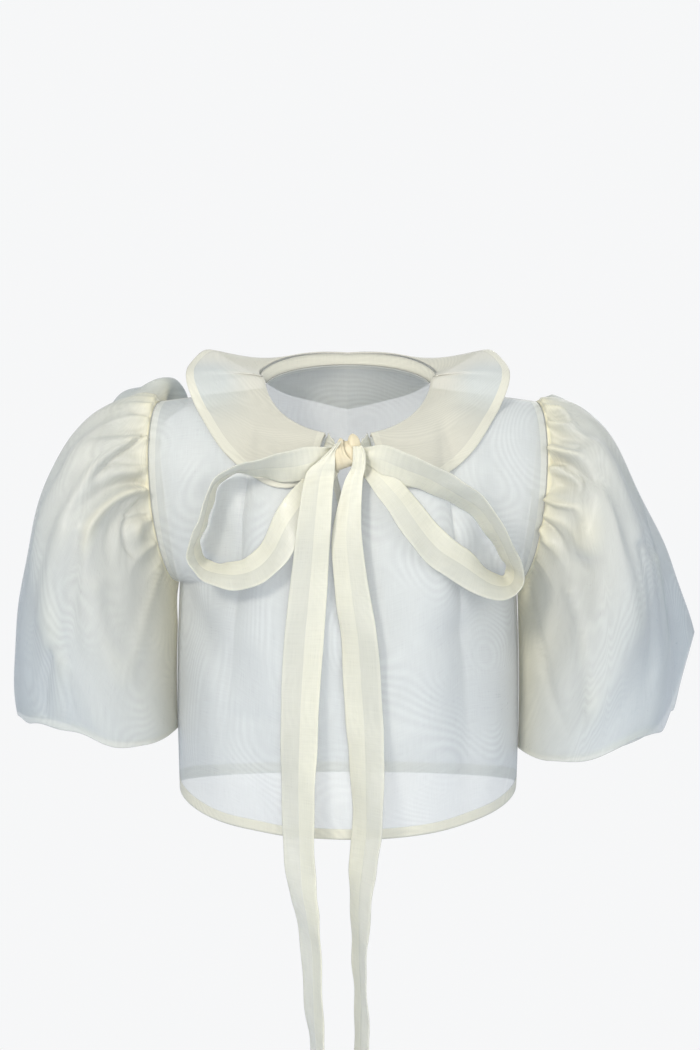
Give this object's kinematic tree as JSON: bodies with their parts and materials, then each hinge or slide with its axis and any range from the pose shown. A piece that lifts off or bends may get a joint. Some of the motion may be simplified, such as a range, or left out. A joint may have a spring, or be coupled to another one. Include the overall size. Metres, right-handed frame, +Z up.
{
  "type": "puff-sleeve organza blouse with a flat round collar and a neck tie in a bow",
  "caption": "Worn, cropped sheer blouse with short puff sleeves, a wide flat round collar, a slit at the neck and a long neck tie in a bow.",
  "frame": {"origin": "on the centre line, midway between the high points of the shoulders, where the blouse hangs on its wearer", "axes": "+Z up, the front of the blouse faces -Y, +X is the wearer's left"},
  "size_m": [0.6964, 0.2849, 0.7213],
  "materials": {
    "organza": "sheer ivory organza, one layer, soft satin sheen",
    "organza_collar": "ivory organza, doubled, soft satin sheen",
    "organza_tie": "ivory organza strip, doubled, soft satin sheen"
  },
  "bodies": {
    "root": {"front": "organza", "back": "organza", "sleeve_right": "organza", "sleeve_left": "organza", "collar": "organza_collar", "neckband": "organza_collar", "tie_strap_right": "organza_tie", "tie_strap_left": "organza_tie", "tie_knot": "organza_tie", "tie_loop_right": "organza_tie", "tie_loop_left": "organza_tie", "tie_tail_right": "organza_tie", "tie_tail_left": "organza_tie"}
  },
  "joints": []
}
